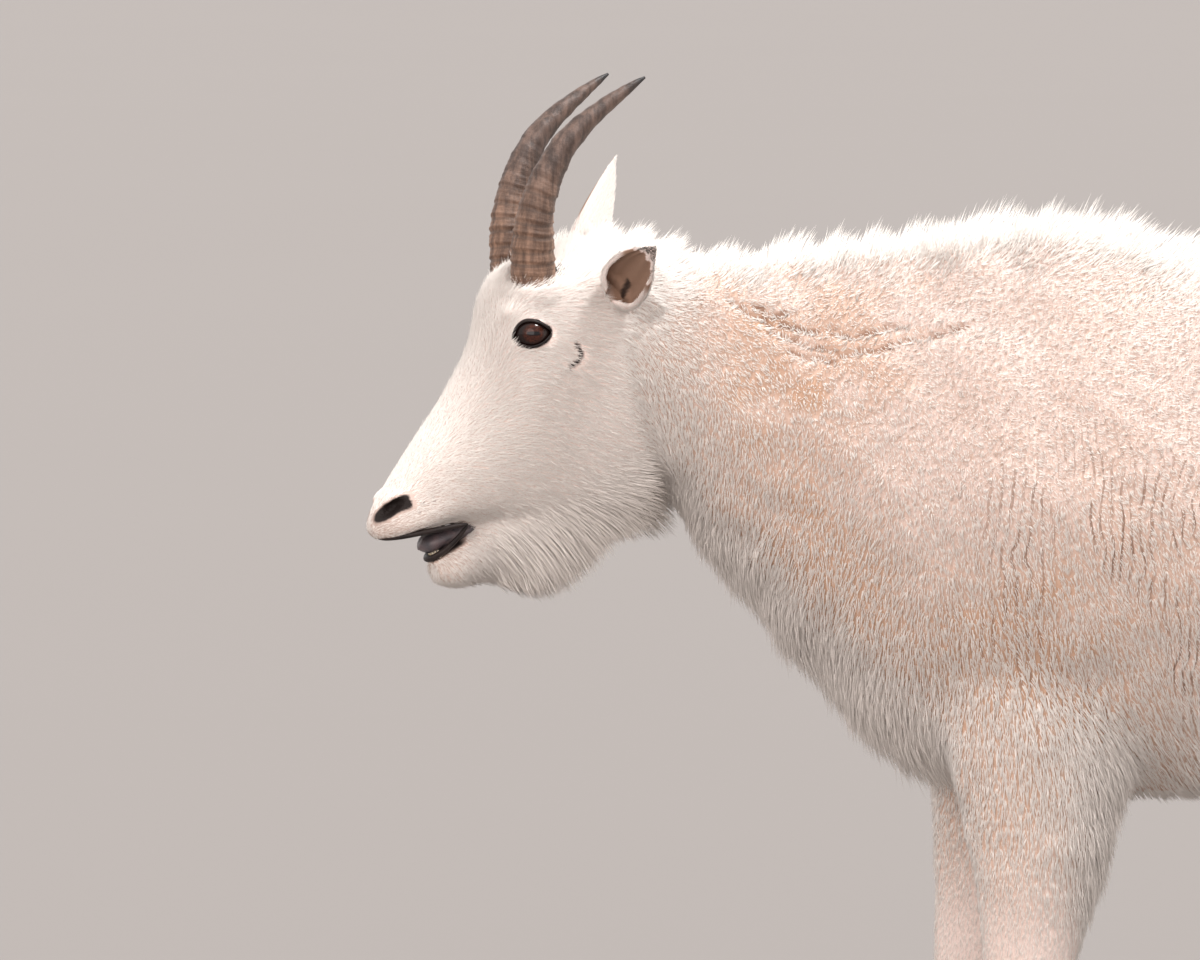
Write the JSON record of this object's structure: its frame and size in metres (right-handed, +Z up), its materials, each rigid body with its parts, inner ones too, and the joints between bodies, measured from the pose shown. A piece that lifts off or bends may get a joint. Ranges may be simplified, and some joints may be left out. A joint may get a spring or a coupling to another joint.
{
  "type": "mountain goat",
  "caption": "Grazing mountain goat billy in a short summer coat, standing with its head held low and turned a little to its left, with curved black horns, a beard and cloven hooves.",
  "frame": {"origin": "under the middle of the animal's bounding box, on the ground that the hooves stand on", "axes": "+Z up, the animal faces -X and its left side is towards -Y"},
  "size_m": [1.4716, 0.418, 1.1122],
  "materials": {
    "coat": "matt white fleece",
    "horn": "satin, ringed near the root",
    "eye": "wet gloss",
    "hoof": "satin",
    "tongue": "moist"
  },
  "bodies": {
    "root": {"dewclaw_foreleg_left_inner": "hoof", "dewclaw_foreleg_left_outer": "hoof", "dewclaw_foreleg_right_inner": "hoof", "dewclaw_foreleg_right_outer": "hoof", "dewclaw_hindleg_left_inner": "hoof", "dewclaw_hindleg_left_outer": "hoof", "dewclaw_hindleg_right_inner": "hoof", "dewclaw_hindleg_right_outer": "hoof", "ear_left": "coat", "ear_right": "coat", "eye_left": "eye", "eye_right": "eye", "foreleg_left_lower": "coat", "foreleg_left_upper": "coat", "foreleg_right_lower": "coat", "foreleg_right_upper": "coat", "head": "coat", "hindleg_left_lower": "coat", "hindleg_left_upper": "coat", "hindleg_right_lower": "coat", "hindleg_right_upper": "coat", "hoof_foreleg_left_inner": "hoof", "hoof_foreleg_left_outer": "hoof", "hoof_foreleg_right_inner": "hoof", "hoof_foreleg_right_outer": "hoof", "hoof_hindleg_left_inner": "hoof", "hoof_hindleg_left_outer": "hoof", "hoof_hindleg_right_inner": "hoof", "hoof_hindleg_right_outer": "hoof", "horn_left": "horn", "horn_right": "horn", "neck": "coat", "tail": "coat", "tongue": "tongue", "torso": "coat"}
  },
  "joints": []
}
